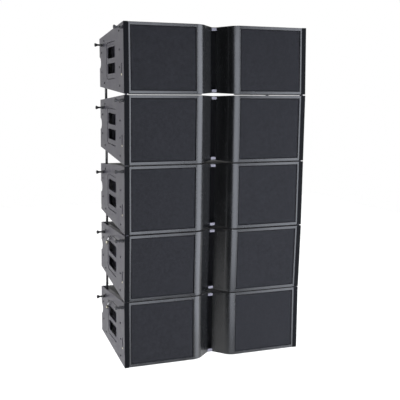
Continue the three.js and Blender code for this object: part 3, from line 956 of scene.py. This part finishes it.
def make_pins():
    """Spool pins everywhere but on the right at the front, where the pins have low button heads."""
    for end, (y, z) in (("front", (0, 0)), ("rear", REAR_PIN)):
        for word, side in SIDES:
            parts = pin(y, z, BUTTON if (end, word) == ("front", "right") else SPOOL)
            if side < 0:
                mirrored(parts)
            mesh = mesh_from(f"{end}_pin_{word}", parts, LOOKS["pin"])
            for k in CABINETS:
                node = f"{end}_pin_{word}_{k}"
                show(mesh, f"quick_release_{node}", PLACE[k], node, [node])


LINK_HALF_WIDTH = 14
LINK_PIVOT_HOLE = 6.5
LINK_SLOT_RADIUS = 8.6
LINK_SLOT_START = 1.6  # above the pin's place at rest
LINK_SLOT_END = 70  # likewise; the fourth link's pin travels 84 and so runs past this end


def make_links():
    """Each link hangs from its pivot in the upper side frame to the next cabinet's rear pin."""
    for k in CABINETS[:-1]:
        pivot = PLACE[k] @ (Vector((0, *LINK_PIVOT)) * MM)
        target = axis_of(f"rear_pin_left_{k + 1}")
        span = target - pivot
        reach = math.hypot(span.y, span.z) / MM
        swing = Matrix.Rotation(math.atan2(span.y, -span.z), 4, "X")
        place = Matrix.Translation((0, pivot.y, pivot.z)) @ swing
        for word, side in SIDES:
            outline = [
                stadium(0, -reach, 0, LINK_HALF_WIDTH, 16),
                circle(0, 0, LINK_PIVOT_HOLE),
                stadium(0, LINK_SLOT_START - reach, LINK_SLOT_END - reach, LINK_SLOT_RADIUS),
            ]
            bar = [plate(outline, *LINK_LAYER, "X", 0.8)]
            if side < 0:
                mirrored(bar)
            node = f"rear_link_{word}_{k}"
            mesh = mesh_from(f"slotted_{node}", bar, LOOKS["rear_link"])
            show(mesh, f"slotted_{node}", place, node, [node])


# ---- Handle cups, connector panel and what is inside ----
def tub(low, high, corner, wall, near, far, axis):
    """A moulded tub with its floor at near and its mouth at far."""
    inner = rounded((low[0] + wall, low[1] + wall), (high[0] - wall, high[1] - wall), max(corner - wall, 1))
    step = wall if far > near else -wall
    return [
        plate([rounded(low, high, corner), inner], near + step, far, axis, 0.4),
        plate([rounded(low, high, corner)], near, near + step, axis, 0.4),
    ]


def handle_cup():
    return tub((160.6, -225.4), (341.4, -68.6), 19, 2, 418.2, 475.2, "X")


def connector_panel():
    rim = [rounded((-140, MIDDLE - 62), (140, MIDDLE + 62), 10)]
    rim += [rounded((-122, MIDDLE - 44), (122, MIDDLE + 44), 8)]
    rear = CABINET_REAR
    return [
        plate(rim, rear + 0.3, rear + 2.3, "Y", 0.7),
        *tub((-124, MIDDLE - 46), (124, MIDDLE + 46), 9, 2, rear - 26, rear + 0.3, "Y"),
    ]


def connector_sockets():
    parts = []
    floor = CABINET_REAR - 24
    for x in (-48, 48):
        base = [rounded((x - 26, MIDDLE - 26), (x + 26, MIDDLE + 26), 4), circle(x, MIDDLE, 15)]
        parts.append(plate(base, floor, floor + 3, "Y", 0.8))
        collar = [(15.5, floor + 1), (19, floor + 1), (19, floor + 12)]
        collar += [(18, floor + 13), (16, floor + 13), (15.5, floor + 12)]
        parts.append(lathe(collar, (x, 0, MIDDLE), "Y", 40, closed=True))
        core = [(0, floor - 1), (7, floor - 1), (7, floor + 9), (6, floor + 10), (0, floor + 10)]
        parts.append(lathe(core, (x, 0, MIDDLE), "Y", 28))
    return parts


def connector_screws():
    rear = CABINET_REAR + 2.2
    places = [(x, MIDDLE + z) for x in (-131, 0, 131) for z in (-53, 53)]
    profile = [(0, 0), (4, 0), (4, 0.4), (3, 1.3), (1.8, 1.4), (1.7, 0.5), (0, 0.5)]
    return [lathe([(r, rear + h) for r, h in profile], (x, 0, z), "Y", 20) for x, z in places]


CROSSOVER_Y = (300, 420)


def crossover_board():
    z = bottom_at(CROSSOVER_Y[1]) + WOOD_INSIDE + 12
    board = block((-105, CROSSOVER_Y[0], z), (105, CROSSOVER_Y[1], z + 1.6), 0.3)
    leg = [(0, z - 11), (4, z - 11), (4, z), (0, z)]
    legs = [lathe(leg, (x, y, 0), "Z", 16) for x in (-95, 95) for y in (310, 410)]
    return [board, *legs]


def crossover_parts():
    z = bottom_at(CROSSOVER_Y[1]) + WOOD_INSIDE + 14
    parts = []
    for x, y, radius in ((-62, 350, 26), (0, 372, 20), (64, 344, 23)):
        coil = [(9, z), (radius, z), (radius, z + 22), (9, z + 22)]
        parts.append(lathe(coil, (x, y, 0), "Z", 40, closed=True))
    for x, y in ((-60, 396), (10, 402), (-20, 322)):
        capacitor = [(0, 20 + x), (8, 20 + x), (9, 22 + x), (9, 52 + x), (8, 54 + x), (0, 54 + x)]
        parts.append(lathe(capacitor, (0, y, z + 9), "X", 24))
    return parts


def damping_wool():
    """A soft mat on the rear wall, its surface lumpy."""
    bm = block((150, 474, MIDDLE - 98), (452, 500, MIDDLE + 98), 6, 3)
    long_edges = [e for e in bm.edges if e.calc_length() > 30]
    bmesh.ops.subdivide_edges(bm, edges=long_edges, cuts=9, use_grid_fill=True)
    for vert in bm.verts:
        if vert.co.y < 480:
            vert.co.y -= 7 * noise.noise(vert.co * 0.03)
    return [bm]


def seam_pads():
    """Rubber feet under the front corners' inner ends, which keep two cabinets from rattling."""
    foot = bottom_at(-2) + FRAME_PROUD
    profile = [(0, foot + 1), (7, foot + 1), (7, foot - 3), (6, foot - 4.4), (0, foot - 4.4)]
    return [lathe(profile, (x, -2, 0), "Z", 28) for x in (-221, 221)]


def seam_seals():
    """Rubber strips under each panel's front edge, which close the seam behind the surrounds."""
    foot = bottom_at(-6) + FRAME_PROUD
    inner, outer = 90, 474.8
    return [block((x, -9, foot - 5.6), (x + outer - inner, -3, foot + 0.6), 0.8) for x in (-outer, inner)]


def dress_cabinets():
    """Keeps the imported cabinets' shape: joins their facets, rounds the arrises and paints them."""
    for k in CABINETS:
        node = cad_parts[f"cabinet_{k}"]
        node.data.materials.clear()
        node.data.materials.append(LOOKS["cabinet"])
        weld = node.modifiers.new("weld", "WELD")
        weld.merge_threshold = 1e-5
        soft = node.modifiers.new("arris", "BEVEL")
        soft.width = 0.0014
        soft.segments = 2
        soft.limit_method = "ANGLE"
        soft.angle_limit = math.radians(35)
        even = node.modifiers.new("even_normals", "WEIGHTED_NORMAL")
        even.keep_sharp = True


def build():
    dress_cabinets()
    on_cabinets("horn_moulding", horn, "horn", stands_for="horn")
    on_cabinets("slot_clips", slot_clips, "plastic", look="clip_plastic")
    on_cabinets("wave_guide", wave_guide, "plastic")
    on_cabinets("compression_drivers", compression_drivers, "driver_frame")
    on_both_sides("perforated_grille", grille, "grille", stands_for="grille")
    on_both_sides("grille_foam", grille_foam, "rubber")
    on_both_sides("woofer_basket", woofer_basket, "driver_frame")
    on_both_sides("woofer_surround", woofer_surround, "rubber")
    on_both_sides("woofer_cone", woofer_cone, "driver_cone")
    on_both_sides("woofer_dust_cap", woofer_dust_cap, "driver_cone")
    on_both_sides("woofer_magnet", woofer_magnet, "driver_frame")
    on_both_sides("side_plate", side_plate, "side_frame", stands_for="side_frame")
    on_both_sides("front_flange", front_flange, "side_frame", look="flange_paint_with_painted_shade")
    on_both_sides("window_rims", window_rims, "side_frame")
    on_both_sides("grip_bar", grip, "side_frame")
    on_both_sides("hinge_tab", hinge_tab, "side_frame", CABINETS[:-1])
    on_both_sides("link_pivot_bolt", pivot_bolt, "pin", CABINETS[:-1])
    on_both_sides("frame_screws", frame_screws, "pin")
    on_both_sides("slot_screw", slot_screw, "zinc")
    make_pins()
    make_links()
    on_both_sides("handle_cup", handle_cup, "plastic", look="cup_plastic_with_painted_light")
    on_cabinets("connector_panel", connector_panel, "plastic")
    on_cabinets("connector_sockets", connector_sockets, "plastic")
    on_cabinets("connector_screws", connector_screws, "zinc")
    on_cabinets("crossover_board", crossover_board, "plastic")
    on_cabinets("crossover_parts", crossover_parts, "zinc")
    on_both_sides("damping_wool", damping_wool, "wool")
    on_cabinets("seam_pads", seam_pads, "rubber", CABINETS[:-1])
    on_cabinets("seam_seals", seam_seals, "rubber", CABINETS[:-1])


build()


# ---- Studio ----
FLOOR_HALF = 9  # metres, as are the two distances from the array
FLOOR_BEHIND = 6
FLOOR_BELOW = 1.2


def make_floor():
    low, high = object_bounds()
    bm = bmesh.new()
    bmesh.ops.create_grid(bm, x_segments=8, y_segments=8, size=FLOOR_HALF)
    mesh = bpy.data.meshes.new("floor")
    bm.to_mesh(mesh)
    bm.free()
    floor = bpy.data.objects.new("floor", mesh)
    floor.location = ((low.x + high.x) / 2, high.y + FLOOR_BEHIND, low.z - FLOOR_BELOW)
    bpy.context.scene.collection.objects.link(floor)
    look = Look("floor_paint", Roughness=0.6)
    look.colour(look.mix(look.noise(0.5), (0.86, 0.86, 0.86), (0.9, 0.9, 0.9)))
    mesh.materials.append(look.material)
    floor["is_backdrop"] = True


def make_world():
    """White where the camera looks; for light, white behind the array and dim in front of it."""
    world = bpy.data.worlds.new("studio")
    bpy.context.scene.world = world
    world.use_nodes = True
    tree = world.node_tree
    background = tree.nodes["Background"]
    background.inputs["Color"].default_value = (1, 1, 1, 1)

    def add(kind):
        return tree.nodes.new("ShaderNode" + kind)

    direction, split, towards_back = add("TexCoord"), add("SeparateXYZ"), add("MapRange")
    tree.links.new(direction.outputs["Generated"], split.inputs[0])
    tree.links.new(split.outputs["Y"], towards_back.inputs["Value"])
    for socket, number in (("From Min", 0.0), ("From Max", 0.5), ("To Min", 0.05), ("To Max", 0.9)):
        towards_back.inputs[socket].default_value = number
    rays, strength = add("LightPath"), add("Math")
    strength.operation = "MAXIMUM"
    tree.links.new(rays.outputs["Is Camera Ray"], strength.inputs[0])
    tree.links.new(towards_back.outputs[0], strength.inputs[1])
    tree.links.new(strength.outputs[0], background.inputs["Strength"])


def softbox(name, azimuth, distance, height, size, power, tint=(1, 1, 1)):
    """A rectangular light that faces the array; azimuth 0 is straight in front, 90 to its right."""
    light = bpy.data.lights.new(name, "AREA")
    light.shape = "RECTANGLE"
    light.size, light.size_y = size
    light.energy = power
    light.color = tint
    lamp = bpy.data.objects.new(name, light)
    low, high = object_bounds()
    centre = (low + high) / 2
    a = math.radians(azimuth)
    lamp.location = (centre.x + distance * math.sin(a), centre.y - distance * math.cos(a), height)
    aim = Vector((centre.x, centre.y, (centre.z + height) / 2)) - lamp.location
    lamp.rotation_euler = aim.to_track_quat("-Z", "Y").to_euler()
    lamp.visible_camera = False
    bpy.context.scene.collection.objects.link(lamp)


COOL = (0.86, 0.9, 1.0)


def light_studio():
    make_floor()
    make_world()
    softbox("right_softbox", 45, 3.6, -1.0, (2.6, 3.8), 170, COOL)
    softbox("front_softbox", -2, 4.4, -1.1, (3.0, 4.0), 190, COOL)
    softbox("left_softbox", -80, 3.0, -0.6, (0.9, 3.4), 16, COOL)
    sun = bpy.data.objects.new("overhead_sun", bpy.data.lights.new("overhead_sun", "SUN"))
    sun.data.energy = 3.2
    sun.data.angle = math.radians(12)
    bpy.context.scene.collection.objects.link(sun)
    bpy.context.scene.view_settings.view_transform = "Standard"


light_studio()
